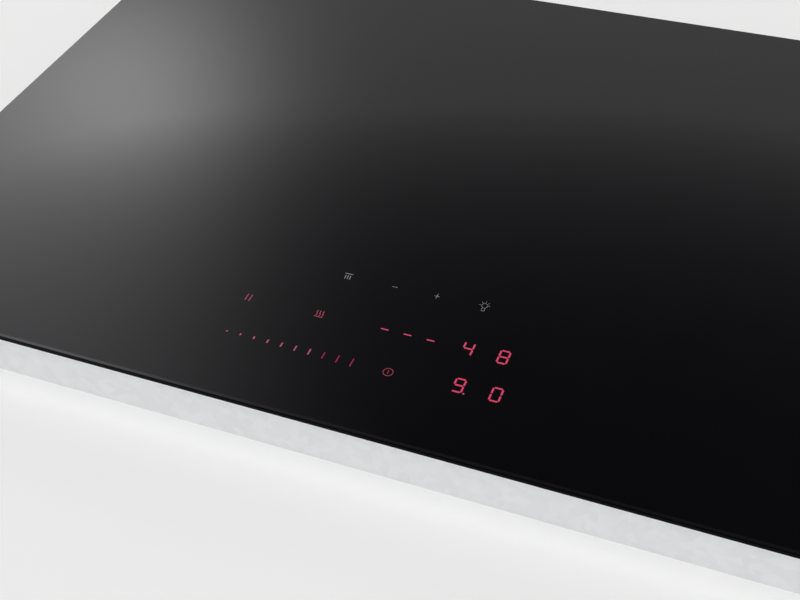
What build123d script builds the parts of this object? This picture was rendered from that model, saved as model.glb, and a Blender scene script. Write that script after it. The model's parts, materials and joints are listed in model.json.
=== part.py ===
"""Built-in induction cooktop with four cooking zones.

Millimetres. X runs to the right, Y to the back and Z up. The origin is the middle of the pan's underside,
and the control strip lies along the front edge, at the low end of Y. The left half's inner pieces are drawn
at their places and mirrored for the right half, apart from what differs between the zones.
"""

import os
from math import cos, radians, sin

from build123d import *

os.makedirs("parts", exist_ok=True)

# Glass plate, and how far it reaches past the worktop's cut-out
glass_width = 770.0
glass_depth = 514.0
glass_thick = 4.0
glass_corner = 5.0
edge_facet = 1.8
side_overlap = 10.0
end_overlap = 12.0
cutout_gap = 3.0

# Sheet metal and general clearances
sheet = 1.0
overrun = 5.0
quarter_turn = 90.0
full_turn = 360.0
seat_gap = 0.3
running_gap = 0.05
hole_gap = 0.15
fastener_sides = 6
bore_sides = 12
small_screw_radius = 1.5
small_screw_head_radius = 2.8
small_screw_head_thick = 1.6

# Sealing tape, adhesive bead and support frame
tape_inset = 1.5
tape_width = 7.0
tape_thick = 1.0
bead_width = 8.0
bead_thick = 1.0
frame_leg_width = 12.0
frame_leg_height = 12.0

# Base pan, and how its half depth limits the layout against its half width
layout_share = 0.6505
pan_corner = 6.0
pan_top_gap = 1.5
pan_screw_radius = 1.7
pan_screw_length = 7.0
pan_screw_head_radius = 3.2
pan_screw_head_thick = 1.6
pan_screw_spacing = 320.0
vent_count = 8
vent_width = 4.0
vent_height = 16.0
vent_pitch = 11.0
vent_low = 12.0
vent_place_share = 0.3

# Clamps in pockets at the pan's left and right sides
pocket_depth = 16.0
pocket_length = 56.0
pocket_frame_gap = 6.0
pocket_place_share = 0.744
clamp_pivot_inset = 8.0
clamp_screw_radius = 2.0
clamp_head_radius = 4.0
clamp_head_thick = 2.6
clamp_head_low = 1.2
clamp_collar_radius = 3.0
clamp_collar_thick = 1.2
clamp_arm_length = 38.0
clamp_arm_width = 12.0
clamp_arm_thick = 2.0
clamp_arm_gap = 0.6
clamp_tip_height = 10.0
clamp_hub_radius = 4.5
clamp_hub_height = 6.0

# Blowers and their screws; radii as shares of the layout's radius, and each lug's quarter of the spiral
fan_across_share = 0.183
fan_back_share = 0.248
scroll_radius_share = 0.182
scroll_step_share = 0.0248
scroll_quarters = 4
scroll_wall = 1.5
outlet_reach_share = 0.256
outlet_width_share = 0.149
blower_top_gap = 2.8
blower_lug_radius = 5.0
blower_lug_offset = 3.6
lug_quarters = (1, 2, 3)
lug_turn_shares = (2.5, 3.33, 0.33)
intake_radius_share = 0.136
impeller_radius_share = 0.165
impeller_gap = 2.0
impeller_plate = 1.4
blade_count = 15
blade_inner_share = 0.128
blade_thick = 0.9
blade_bow = 2.2
blade_lean_angle = 9.0
rim_width = 2.2
rim_height = 2.0
hub_radius_share = 0.083
hub_wall = 1.4
motor_play = 1.6
stator_poles = 12
motor_height_share = 0.536
shaft_radius = 2.0
spinner_gap = 3.0

# Grilles let into the pan's floor
grille_flange = 3.0
grille_flange_thick = 1.2
grille_recess = 0.3
grille_bar = 2.6
grille_slot = 4.6
exhaust_side_inset = 11.0
exhaust_pocket_gap = 7.0
exhaust_width_share = 0.0914
exhaust_length_share = 0.322

# Power boards and what stands on them
board_thick = 1.6
board_height = 5.0
support_radius = 3.0
support_inset = 6.0
power_board_near_share = 0.371
power_board_far_share = 0.855
power_board_front_share = -0.124
power_board_back_share = 0.620
heat_sink_length_share = 0.452
heat_sink_gap = 12.0
heat_sink_top_gap = 2.4
heat_sink_base = 3.0
fin_count = 9
fin_thick = 1.5
transistor_width = 16.0
transistor_thick = 4.8
transistor_top_gap = 3.0
transistor_count = 4
film_width = 26.0
film_thick = 12.0
film_top_gap = 3.0
film_count = 3
film_pitch_share = 0.105
film_side_share = 0.086
film_front_inset = 12.0
bulk_radius = 8.0
bulk_top_gap = 2.0
bulk_count = 2
bulk_pitch_share = 0.086
bulk_front_inset = 48.0

# Filter board
filter_width_share = 0.403
filter_front_share = -0.413
choke_radius = 14.0
choke_bore = 7.0
choke_thick = 12.0
choke_spacing = 75.0
transformer_width = 28.0
transformer_depth = 22.0
transformer_height = 20.0
transformer_core_share = 0.6
connector_width = 20.0
connector_depth = 10.0
connector_height = 9.0

# Coil trays
tray_clearance = 4.0
tray_thick = 1.5
tray_control_overlap = 10.0
tray_control_reach = 30.0
tray_side_inset = 20.0
tray_back_inset = 4.0
tray_post_radius = 4.0
tray_post_inset = 10.0
tray_post_notch_gap = 10.0
tray_vent_length = 60.0
tray_vent_width = 10.0

# Coils: name, middle as shares of the pan's half width and half depth, radius as a share of the layout's
# radius, angle at which the leads drop to the power board, and their distance as a share of the coil's radius
zone_shares = [
    ("front_left", -0.578, -0.190, 0.372, 90.0, 0.63),
    ("rear_left", -0.578, 0.575, 0.372, 0.0, 0.45),
    ("front_right", 0.578, -0.116, 0.434, 90.0, 0.39),
    ("rear_right", 0.578, 0.649, 0.294, -45.0, 0.43),
]
coil_bore_share = 0.28
coil_thick = 4.0
coil_rim = 3.0
carrier_thick = 2.0
carrier_hub = 17.0
carrier_arm = 14.0
carrier_bore = 7.0
carrier_arms = 8
ferrite_width = 11.0
ferrite_thick = 5.0
ferrite_start = 23.0
sensor_radius = 5.5
sensor_flange_radius = 9.0
sensor_flange_thick = 1.6
sensor_play = 0.4
mica_thick = 0.7
mica_play = 0.1
spring_width = 8.0
spring_foot = 6.0
spring_span = 26.0
spring_thick = 0.6
spring_height = 8.7
spring_count = 3
spring_first_angle = 45.0
spring_places_share = 0.74
lead_radius = 1.4
lead_pitch = 8.0
lead_hole_gap = 1.6

# Control unit, measured along the front edge of the glass
control_width = 244.0
control_front = 27.0
control_back = 139.0
carrier_depth = 10.0
carrier_top_gap = 3.0
carrier_wall = 1.6
control_leg_radius = 4.0
control_leg_inset = 18.0
control_rest = 2.0
control_board_play = 1.0
digit_width = 14.0
digit_height = 20.0
under_glass_gap = 0.4
timer_width = 46.0
slider_pitch = 9.69
slider_count = 10
slider_bar_width = 3.0
slider_bar_length = 8.0
slider_rail_height = 3.0
pad_radius = 4.0
ribbon_width = 14.0
ribbon_thick = 0.8
ribbon_bend = 5.0

# Places on the control strip: rows back from the glass's front edge, and places along each row
slider_row = 52.0
slider_start = -91.0
power_key = 20.6
front_digit_row = 55.6
front_digit_left = 65.4
front_digit_right = 89.0
key_row = 85.2
pause_key = -92.1
warming_key = -40.8
timer_row = 86.2
timer_middle = 19.9
rear_digit_row = 87.0
rear_digit_left = 60.2
rear_digit_right = 83.4
rear_key_row = 125.3
hood_key = -37.6
minus_key = -4.2
plus_key = 25.3
lamp_key = 58.2
digit_places = [
    (rear_digit_left, rear_digit_row),
    (rear_digit_right, rear_digit_row),
    (front_digit_left, front_digit_row),
    (front_digit_right, front_digit_row),
]
pad_places = [
    (power_key, slider_row),
    (pause_key, key_row),
    (warming_key, key_row),
    (hood_key, rear_key_row),
    (minus_key, rear_key_row),
    (plus_key, rear_key_row),
    (lamp_key, rear_key_row),
]

# Terminal box in a notch at the back of the pan
notch_side_inset = 32.0
notch_width = 104.0
notch_depth = 46.0
box_gap = 0.4
box_lift = 0.6
box_wall = 2.0
box_recess = 1.0
cable_bay_width = 34.0
cover_thick = 2.0
cover_gap = 0.5
cover_grip_width = 16.0
cover_grip_depth = 0.8
cover_grip_height = 5.0
hinge_barrel_radius = 1.8
hinge_pin_radius = 1.2
hinge_pin_length = 1.5
hinge_inset = 3.0
hinge_lift = 0.2
entry_radius = 7.0
entry_wall = 2.5
entry_inset = 17.0
gland_length = 13.0
gland_flange_reach = 1.5
gland_flange_thick = 0.8
gland_floor_gap = 0.5
gland_play = 0.2
terminal_count = 5
terminal_pitch = 10.6
terminal_depth = 18.0
terminal_height = 14.0
terminal_setback = 8.0
terminal_wire_radius = 2.2
terminal_wire_depth = 8.0
terminal_screw_radius = 1.5
terminal_screw_head_radius = 2.4
terminal_screw_head_thick = 1.5
terminal_screw_setback = 6.0
terminal_well_depth = 3.0
clamp_bar_thick = 6.0
clamp_bar_depth = 8.0
clamp_bar_setback = 20.0
box_screw_setback = 12.0
cord_post_radius = 3.5
cord_play = 0.5
cord_screw_length = 9.0
lead_window_width = 18.0
lead_window_height = 7.0
mains_lead_radius = 1.5
mains_lead_pitch = 4.4
mains_lead_height = 11.0
mains_lead_notch_gap = 28.0
mains_lead_bend = 9.0

# Worked out from the sizes above; the layout's radius is the room that the coils and blowers have
front_edge = -glass_depth / 2
box_low = box_lift
box_floor = box_low + box_wall
gland_half = entry_radius + entry_wall
entry_z = box_floor + gland_floor_gap + gland_half + gland_flange_reach
cord_post_top = entry_z + entry_radius / 2
clamp_bar_top = cord_post_top + clamp_bar_thick
box_ceiling = clamp_bar_top + small_screw_head_thick + box_gap
box_top = box_ceiling + box_wall
notch_height = box_top + box_gap
tray_low = notch_height + sheet + tray_clearance
tray_top = tray_low + tray_thick
coil_carrier_low = tray_top + spring_height
winding_low = coil_carrier_low + carrier_thick
ferrite_low = coil_carrier_low - ferrite_thick
built_in_height = winding_low + coil_thick + mica_thick + mica_play
pan_width = glass_width - 2 * side_overlap - 2 * cutout_gap
pan_depth = glass_depth - 2 * end_overlap - 2 * cutout_gap
pan_half = pan_width / 2
pan_back = pan_depth / 2
layout_radius = min(pan_back, pan_half * layout_share)
pan_top = built_in_height - pan_top_gap
frame_top = built_in_height - bead_thick
frame_width = pan_width - 2 * sheet - 2 * seat_gap
frame_depth = pan_depth - 2 * sheet - 2 * seat_gap
frame_corner = pan_corner - sheet
frame_low = frame_top - sheet - frame_leg_height
pan_screw_z = frame_low + frame_leg_height / 2
pocket_middle = pocket_place_share * pan_back
clamp_x = pan_half - pocket_depth / 2
clamp_y = pocket_middle + pocket_length / 2 - clamp_pivot_inset
clamp_arm_low = clamp_head_low + clamp_head_thick + clamp_arm_gap
pocket_height = frame_low - pocket_frame_gap
clamp_collar_low = pocket_height + sheet + seat_gap
grille_top = sheet + grille_flange_thick
blower_low = grille_top
blower_top = tray_low - blower_top_gap
blower_height = blower_top - blower_low
motor_height = motor_height_share * blower_height
blower_floor = blower_low + scroll_wall
cover_low = blower_top - scroll_wall
impeller_top = cover_low - impeller_gap
impeller_low = blower_floor + impeller_gap
motor_low = cover_low - motor_height
spinner_low = motor_low - spinner_gap
fan_spot_x = fan_across_share * pan_half
fan_spot_y = fan_back_share * pan_back
scroll_radius = scroll_radius_share * layout_radius
scroll_step = scroll_step_share * layout_radius
scroll_outlet_reach = outlet_reach_share * layout_radius
scroll_outlet_width = outlet_width_share * layout_radius
intake_radius = intake_radius_share * layout_radius
impeller_radius = impeller_radius_share * layout_radius
blade_inner_radius = blade_inner_share * layout_radius
hub_radius = hub_radius_share * layout_radius
motor_radius = hub_radius - hub_wall - motor_play
scroll_half = scroll_step / 2
scroll_reach = scroll_radius + (scroll_quarters - 1) * scroll_step + scroll_half
outlet_middle = fan_spot_y + scroll_reach - scroll_outlet_width / 2
exhaust_width = exhaust_width_share * pan_half
exhaust_length = exhaust_length_share * pan_back
exhaust_spot_x = pan_half - exhaust_side_inset - exhaust_width / 2
exhaust_spot_y = pocket_middle - pocket_length / 2 - exhaust_pocket_gap - exhaust_length / 2
power_board_near = power_board_near_share * pan_half
power_board_far = power_board_far_share * pan_half
power_board_front = power_board_front_share * pan_back
power_board_back = power_board_back_share * pan_back
heat_sink_length = heat_sink_length_share * pan_half
film_pitch = film_pitch_share * pan_half
film_side_inset = film_side_share * pan_half
bulk_pitch = bulk_pitch_share * pan_half
filter_width = filter_width_share * pan_half
filter_front = filter_front_share * pan_back
filter_back = 0
board_low = sheet + board_height
board_top = board_low + board_thick
heat_sink_height = tray_low - heat_sink_top_gap - board_top
transistor_height = heat_sink_height - transistor_top_gap
film_height = heat_sink_height - film_top_gap
bulk_height = heat_sink_height - bulk_top_gap
heat_sink_near = fan_spot_x + scroll_outlet_reach + heat_sink_gap
heat_sink_depth = scroll_outlet_width
tray_near = control_width / 2 - tray_control_overlap
tray_far = pan_half - tray_side_inset
tray_front = front_edge + control_back - tray_control_reach
tray_back = pan_back - tray_back_inset
tray_post_near = tray_near + tray_post_inset
tray_post_far = tray_far - tray_post_inset
tray_post_front = tray_front + tray_post_inset
tray_post_back = pan_back - notch_depth - tray_post_notch_gap
zones = [
    (
        name,
        share_x * pan_half,
        share_y * pan_back,
        share_radius * layout_radius,
        lead_angle,
        lead_share * share_radius * layout_radius,
    )
    for name, share_x, share_y, share_radius, lead_angle, lead_share in zone_shares
]
control_low_y = front_edge + control_front
control_high_y = front_edge + control_back
carrier_top = built_in_height - carrier_top_gap
carrier_low = carrier_top - carrier_depth
control_board_low = carrier_low + carrier_wall + control_rest
control_board_top = control_board_low + board_thick
under_glass = built_in_height - under_glass_gap
notch_right = pan_half - notch_side_inset
notch_left = notch_right - notch_width
mains_lead_aisle = pan_back - notch_depth - mains_lead_notch_gap
cover_right = notch_right - cable_bay_width
box_left = notch_left + box_gap
box_right = notch_right - box_gap
box_front = pan_back - notch_depth + box_gap
box_back = pan_back - box_recess
hinge_y = box_back - hinge_inset
hinge_z = box_low + hinge_barrel_radius + hinge_lift
entry_x = notch_right - entry_inset
terminal_width = terminal_count * terminal_pitch
terminal_left = (box_left + cover_right - terminal_width) / 2
terminal_front = box_front + box_wall + terminal_setback
terminal_top = box_floor + terminal_height
clamp_bar_y = box_back - clamp_bar_setback - clamp_bar_depth / 2
box_screw_y = box_back - box_screw_setback
cord_post_offset = entry_radius + cord_play + cord_post_radius
cover_left = box_left + box_wall
box_screw_inset = clamp_bar_depth
box_screw_spots = [(cover_left + box_screw_inset, box_screw_y), (cover_right - box_screw_inset, box_screw_y)]


def finish(piece, name):
    """Label a piece and write its file."""
    piece.part.label = name
    export_step(piece.part, f"parts/{name}.step")


def plate(left, front, right, back, mode=Mode.ADD):
    """A rectangle between two corners, in the sketch being drawn."""
    with Locations(((left + right) / 2, (front + back) / 2)):
        Rectangle(abs(right - left), abs(back - front), mode=mode)


def slab(left, front, low, right, back, high, mode=Mode.ADD):
    """A rectangular slab between two corners, in the part being built."""
    with BuildSketch(Plane.XY.offset(low)) as section:
        plate(left, front, right, back)
    extrude(section.sketch, amount=high - low, mode=mode)


def rod(spots, radius, low, high, mode=Mode.ADD):
    """Upright round rods or holes at these spots, in the part being built."""
    with BuildSketch(Plane.XY.offset(low)) as section:
        with Locations(*spots):
            Circle(radius)
    extrude(section.sketch, amount=high - low, mode=mode)


def stud(spots, radius, low, high, mode=Mode.ADD):
    """Upright hexagonal studs or holes at these spots, in the part being built."""
    with BuildSketch(Plane.XY.offset(low)) as section:
        with Locations(*spots):
            RegularPolygon(radius, fastener_sides)
    extrude(section.sketch, amount=high - low, mode=mode)


def turning_bore(spots, radius, low, high):
    """Upright holes of many flats, each flat clear of a round shank that turns in the hole."""
    with BuildSketch(Plane.XY.offset(low)) as section:
        with Locations(*spots):
            RegularPolygon(radius, bore_sides, major_radius=False)
    extrude(section.sketch, amount=high - low, mode=Mode.SUBTRACT)


def polar(middle, distance, angle):
    """The point at a distance and an angle from a middle."""
    return (middle[0] + distance * cos(radians(angle)), middle[1] + distance * sin(radians(angle)))


def ring(low, high, width, depth, corner, band):
    """A rectangular ring of one band width, in the part being built."""
    with BuildSketch(Plane.XY.offset(low)) as section:
        RectangleRounded(width, depth, corner)
        Rectangle(width - 2 * band, depth - 2 * band, mode=Mode.SUBTRACT)
    extrude(section.sketch, amount=high - low)


def notch_blocks(grow):
    """The spaces that the pan's walls step round, grown by a wall."""
    with BuildPart() as blocks:
        with BuildSketch(Plane.XY.offset(-overrun)):
            for side in (-1, 1):
                for end in (-1, 1):
                    near = side * (pan_half - pocket_depth - grow)
                    far = side * (pan_half + overrun)
                    low = end * pocket_middle - pocket_length / 2 - grow
                    plate(near, low, far, low + pocket_length + 2 * grow)
        extrude(amount=overrun + pocket_height + grow)
        with BuildSketch(Plane.XY.offset(-overrun)):
            plate(notch_left - grow, pan_back - notch_depth - grow, notch_right + grow, pan_back + overrun)
        extrude(amount=overrun + notch_height + grow)
    return blocks.part


def wall_places(inset):
    """A plane for each pan screw, its normal pointing out of the wall that it goes through."""
    places = []
    for end in (-1, 1):
        along = end * pan_screw_spacing / 2
        for turn in (-1, 1):
            across_place = (along, turn * (pan_back - inset), pan_screw_z)
            along_place = (turn * (pan_half - inset), along, pan_screw_z)
            places.append(Plane(across_place, x_dir=(1, 0, 0), z_dir=(0, turn, 0)))
            places.append(Plane(along_place, x_dir=(0, 1, 0), z_dir=(turn, 0, 0)))
    return places


# Glass plate, its top edge ground to a facet all round
with BuildPart() as glass_plate:
    with BuildSketch(Plane.XY.offset(built_in_height)):
        RectangleRounded(glass_width, glass_depth, glass_corner)
    extrude(amount=glass_thick)
    chamfer(glass_plate.edges().group_by(Axis.Z)[-1], length=edge_facet)
finish(glass_plate, "glass_plate")

# Sealing tape between the rim and the worktop
with BuildPart() as sealing_tape:
    tape_low = built_in_height - tape_thick
    tape_wide = glass_width - 2 * tape_inset
    tape_deep = glass_depth - 2 * tape_inset
    ring(tape_low, built_in_height, tape_wide, tape_deep, glass_corner - tape_inset, tape_width)
finish(sealing_tape, "sealing_tape")

# Adhesive bead that holds the frame to the glass
with BuildPart() as adhesive_bead:
    bead_wide = frame_width - 2 * sheet
    bead_deep = frame_depth - 2 * sheet
    ring(frame_top, built_in_height, bead_wide, bead_deep, frame_corner, bead_width)
finish(adhesive_bead, "adhesive_bead")

# Support frame of angle section, inside the pan's wall
with BuildPart() as support_frame:
    ring(frame_top - sheet, frame_top, frame_width, frame_depth, frame_corner, frame_leg_width)
    ring(frame_low, frame_top - sheet, frame_width, frame_depth, frame_corner, sheet)
    for place in wall_places(sheet + seat_gap + sheet + overrun):
        with BuildSketch(place) as hole:
            RegularPolygon(pan_screw_radius + hole_gap, fastener_sides)
        extrude(hole.sketch, amount=2 * overrun, mode=Mode.SUBTRACT)
finish(support_frame, "support_frame")

# Base pan: a folded tray with air slots at the back, stepped round the clamp pockets and the terminal box
outer_notches = notch_blocks(0)
inner_notches = notch_blocks(sheet)
with BuildPart() as pan_hollow:
    with BuildSketch(Plane.XY.offset(sheet)):
        RectangleRounded(pan_width - 2 * sheet, pan_depth - 2 * sheet, pan_corner - sheet)
    extrude(amount=pan_top)
    add(inner_notches, mode=Mode.SUBTRACT)
with BuildPart() as base_pan:
    with BuildSketch():
        RectangleRounded(pan_width, pan_depth, pan_corner)
    extrude(amount=pan_top)
    add(outer_notches, mode=Mode.SUBTRACT)
    add(pan_hollow.part, mode=Mode.SUBTRACT)
    fan_spots = [(-fan_spot_x, fan_spot_y), (fan_spot_x, fan_spot_y)]
    rod(fan_spots, intake_radius, -overrun, overrun, Mode.SUBTRACT)
    for side in (-1, 1):
        slab(
            side * exhaust_spot_x - exhaust_width / 2,
            exhaust_spot_y - exhaust_length / 2,
            -overrun,
            side * exhaust_spot_x + exhaust_width / 2,
            exhaust_spot_y + exhaust_length / 2,
            overrun,
            Mode.SUBTRACT,
        )
    vent_place = Plane((0, pan_back, vent_low + vent_height / 2), x_dir=(1, 0, 0), z_dir=(0, 1, 0))
    with BuildSketch(vent_place) as vents:
        for side in (-1, 1):
            with Locations((side * vent_place_share * pan_half, 0)):
                with GridLocations(vent_pitch, 0, vent_count, 1):
                    Rectangle(vent_width, vent_height)
    extrude(vents.sketch, amount=overrun, both=True, mode=Mode.SUBTRACT)
    clamp_spots = [(side * clamp_x, end * clamp_y) for side in (-1, 1) for end in (-1, 1)]
    clamp_bore = clamp_screw_radius + running_gap
    turning_bore(clamp_spots, clamp_bore, pocket_height, pocket_height + sheet)
    for place in wall_places(sheet + hole_gap):
        with BuildSketch(place) as hole:
            RegularPolygon(pan_screw_radius + hole_gap, fastener_sides)
        extrude(hole.sketch, amount=2 * sheet, mode=Mode.SUBTRACT)
    window_middle = (terminal_left + terminal_left + terminal_width) / 2
    slab(
        window_middle - lead_window_width / 2,
        pan_back - notch_depth - overrun,
        mains_lead_height - lead_window_height / 2,
        window_middle + lead_window_width / 2,
        pan_back - notch_depth + sheet / 2,
        mains_lead_height + lead_window_height / 2,
        Mode.SUBTRACT,
    )
    small_bore = small_screw_radius + hole_gap
    stud(box_screw_spots, small_bore, notch_height - overrun, notch_height + overrun, Mode.SUBTRACT)
finish(base_pan, "base_pan")

# Screws through the pan's wall into the frame
with BuildPart() as pan_screws:
    for place in wall_places(0):
        with BuildSketch(place) as head:
            RegularPolygon(pan_screw_head_radius, fastener_sides)
        extrude(head.sketch, amount=pan_screw_head_thick)
        with BuildSketch(place) as shank:
            RegularPolygon(pan_screw_radius, fastener_sides)
        extrude(shank.sketch, amount=-pan_screw_length)
finish(pan_screws, "pan_screws")

# Clamp screws, each held in its pocket's ceiling by the collar above it
for side, side_name in ((-1, "left"), (1, "right")):
    for end, end_name in ((-1, "front"), (1, "rear")):
        pivot = (side * clamp_x, end * clamp_y)
        with BuildPart() as clamp_screw:
            stud([pivot], clamp_head_radius, clamp_head_low, clamp_head_low + clamp_head_thick)
            rod([pivot], clamp_screw_radius, clamp_head_low + clamp_head_thick, clamp_collar_low)
            stud([pivot], clamp_collar_radius, clamp_collar_low, clamp_collar_low + clamp_collar_thick)
        finish(clamp_screw, f"clamp_screw_{end_name}_{side_name}")
        with BuildPart() as clamp_arm:
            with BuildSketch(Plane.XY.offset(clamp_arm_low)) as arm:
                with Locations(pivot):
                    Circle(clamp_arm_width / 2)
                half_width = clamp_arm_width / 2
                tip = pivot[1] - end * clamp_arm_length
                plate(pivot[0] - half_width, pivot[1], pivot[0] + half_width, tip)
            extrude(arm.sketch, amount=clamp_arm_thick)
            slab(
                pivot[0] - half_width,
                tip,
                clamp_arm_low,
                pivot[0] + half_width,
                tip + end * clamp_arm_thick,
                clamp_arm_low + clamp_tip_height,
            )
            hub_top = clamp_arm_low + clamp_hub_height
            stud([pivot], clamp_hub_radius, clamp_arm_low, hub_top)
            turning_bore([pivot], clamp_bore, clamp_arm_low, hub_top)
        finish(clamp_arm, f"clamp_arm_{end_name}_{side_name}")


def scroll_arc(quarter):
    """The middle and radius of one quarter of the blower's spiral, each wider by one step."""
    across = scroll_half if quarter in (1, 2) else -scroll_half
    along = scroll_half if quarter in (2, 3) else -scroll_half
    return (across, along), scroll_radius + quarter * scroll_step


def scroll_outline(inset):
    """The blower's outline: a spiral of four arcs with its outlet towards the left."""
    with BuildSketch() as outline:
        with BuildLine():
            arcs = []
            for quarter in range(scroll_quarters):
                middle, radius = scroll_arc(quarter)
                start_angle = quarter_turn * (quarter + 1)
                arcs.append(CenterArc(middle, radius - inset, start_angle, quarter_turn))
            Line(arcs[-1] @ 1, arcs[0] @ 0)
        make_face()
        outlet_low = scroll_reach - scroll_outlet_width + inset
        plate(-scroll_outlet_reach - inset, outlet_low, -scroll_half, scroll_reach - inset)
    return outline.sketch


def lug_spot(quarter, turn_share):
    """Where a screw lug stands against the blower's wall."""
    middle, radius = scroll_arc(quarter)
    place = (fan_middle[0] + middle[0], fan_middle[1] + middle[1])
    return polar(place, radius + blower_lug_offset, turn_share * quarter_turn)


fan_middle = (-fan_spot_x, fan_spot_y)
fan_origin = Plane((-fan_spot_x, fan_spot_y, 0))
lug_spots = [lug_spot(quarter, share) for quarter, share in zip(lug_quarters, lug_turn_shares)]

# Blower housings: floor with the intake, spiral wall and three lugs
with BuildPart() as blower_housings:
    extrude(fan_origin.offset(blower_low) * scroll_outline(0), amount=blower_height - scroll_wall)
    stud(lug_spots, blower_lug_radius, sheet, blower_floor)
    hollow_outline = fan_origin.offset(blower_floor) * scroll_outline(scroll_wall)
    extrude(hollow_outline, amount=blower_height, mode=Mode.SUBTRACT)
    rod([fan_middle], intake_radius, 0, blower_floor + overrun, Mode.SUBTRACT)
    stud(lug_spots, small_bore, 0, blower_floor + overrun, Mode.SUBTRACT)
    mirror(about=Plane.YZ)
finish(blower_housings, "blower_housings")

# Blower covers: the lids that the motors hang from
with BuildPart() as blower_covers:
    extrude(fan_origin.offset(cover_low) * scroll_outline(0), amount=scroll_wall)
    mirror(about=Plane.YZ)
finish(blower_covers, "blower_covers")

# Motors: the stators under the lids, bored for the shafts
with BuildPart() as fan_motors:
    with BuildSketch(fan_origin.offset(motor_low)) as stator:
        RegularPolygon(motor_radius, stator_poles)
    extrude(stator.sketch, amount=motor_height)
    rod([fan_middle], shaft_radius + running_gap, motor_low - overrun, cover_low - scroll_wall, Mode.SUBTRACT)
    mirror(about=Plane.YZ)
finish(fan_motors, "fan_motors")

# Left impeller: hub cup with its shaft, top plate, bowed blades and the rim that ties their tips
with BuildPart() as impeller_left:
    plate_low = impeller_top - impeller_plate
    rod([fan_middle], impeller_radius, plate_low, impeller_top)
    rod([fan_middle], hub_radius, spinner_low - hub_wall, impeller_top)
    rod([fan_middle], hub_radius - hub_wall, spinner_low, impeller_top + overrun, Mode.SUBTRACT)
    rod([fan_middle], shaft_radius, spinner_low - hub_wall, cover_low - scroll_wall - spinner_gap)
    with BuildSketch(Plane.XY.offset(impeller_low)) as rim:
        with Locations(fan_middle):
            Circle(impeller_radius)
            Circle(impeller_radius - rim_width, mode=Mode.SUBTRACT)
    extrude(rim.sketch, amount=rim_height)
    with BuildSketch(fan_origin.offset(impeller_low)) as blades:
        with BuildLine() as blade_line:
            root = (blade_inner_radius, 0)
            tip_point = polar((0, 0), impeller_radius - rim_width / 2, blade_lean_angle)
            bow = ((root[0] + tip_point[0]) / 2 + blade_bow / 2, tip_point[1] / 2 - blade_bow)
            ThreePointArc(root, bow, tip_point)
        with PolarLocations(0, blade_count):
            trace(blade_line.line, line_width=blade_thick)
    extrude(blades.sketch, amount=plate_low - impeller_low)
finish(impeller_left, "impeller_left")

# Screws through the blowers' lugs
with BuildPart() as blower_screws:
    stud(lug_spots, small_screw_head_radius, blower_floor, blower_floor + small_screw_head_thick)
    stud(lug_spots, small_screw_radius, sheet, blower_floor)
    mirror(about=Plane.YZ)
finish(blower_screws, "blower_screws")

# Intake grilles: slotted plates on the pan's floor, over the round intakes
grille_pitch = grille_bar + grille_slot
with BuildPart() as intake_grilles:
    with BuildSketch(fan_origin.offset(sheet)) as slotted:
        Rectangle(2 * intake_radius + 2 * grille_flange, 2 * intake_radius + 2 * grille_flange)
        with GridLocations(0, grille_pitch, 1, int((2 * intake_radius - grille_bar) / grille_pitch)):
            Rectangle(2 * intake_radius, grille_slot, mode=Mode.SUBTRACT)
    extrude(slotted.sketch, amount=grille_flange_thick)
    mirror(about=Plane.YZ)
finish(intake_grilles, "intake_grilles")

# Exhaust grilles: framed rows of slots in the pan's floor beyond the heat sinks
with BuildPart() as exhaust_grilles:
    grille_place = Plane((-exhaust_spot_x, exhaust_spot_y, sheet))
    with BuildSketch(grille_place) as flange:
        Rectangle(exhaust_width + 2 * grille_flange, exhaust_length + 2 * grille_flange)
    extrude(flange.sketch, amount=grille_flange_thick)
    with BuildSketch(grille_place) as insert:
        Rectangle(exhaust_width - 2 * hole_gap, exhaust_length - 2 * hole_gap)
    extrude(insert.sketch, amount=grille_recess - sheet)
    with BuildSketch(grille_place.offset(-sheet)) as slots:
        with GridLocations(0, grille_pitch, 1, int((exhaust_length - grille_bar) / grille_pitch)):
            Rectangle(exhaust_width - 2 * grille_bar, grille_slot)
    extrude(slots.sketch, amount=grille_top + overrun, mode=Mode.SUBTRACT)
    mirror(about=Plane.YZ)
finish(exhaust_grilles, "exhaust_grilles")

# Right impeller, the left one's mirror image
with BuildPart() as impeller_right:
    mirror(impeller_left.part, about=Plane.YZ)
finish(impeller_right, "impeller_right")


def corner_spots(left, front, right, back):
    """Where the supports stand under a board."""
    return [
        (across, along)
        for across in (left + support_inset, right - support_inset)
        for along in (front + support_inset, back - support_inset)
    ]


# Power boards, left and right
with BuildPart() as power_boards:
    slab(-power_board_far, power_board_front, board_low, -power_board_near, power_board_back, board_top)
    mirror(about=Plane.YZ)
finish(power_boards, "power_boards")

# Heat sinks: extruded combs in line with the blowers' outlets
with BuildPart() as heat_sinks:
    sink_place = Plane((-heat_sink_near, outlet_middle, board_top), x_dir=(0, -1, 0), z_dir=(-1, 0, 0))
    with BuildSketch(sink_place) as comb:
        with Locations((0, heat_sink_base / 2)):
            Rectangle(heat_sink_depth, heat_sink_base)
        fin_pitch = (heat_sink_depth - fin_thick) / (fin_count - 1)
        with Locations((0, heat_sink_height / 2)):
            with GridLocations(fin_pitch, 0, fin_count, 1):
                Rectangle(fin_thick, heat_sink_height)
    extrude(comb.sketch, amount=heat_sink_length)
    mirror(about=Plane.YZ)
finish(heat_sinks, "heat_sinks")

# Power transistors, flat against the heat sinks' front fins
with BuildPart() as power_transistors:
    transistor_pitch = heat_sink_length / transistor_count
    sink_front = outlet_middle - heat_sink_depth / 2
    for index in range(transistor_count):
        middle_x = -heat_sink_near - transistor_pitch / 2 - index * transistor_pitch
        slab(
            middle_x - transistor_width / 2,
            sink_front - transistor_thick,
            board_top,
            middle_x + transistor_width / 2,
            sink_front,
            board_top + transistor_height,
        )
    mirror(about=Plane.YZ)
finish(power_transistors, "power_transistors")

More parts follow.
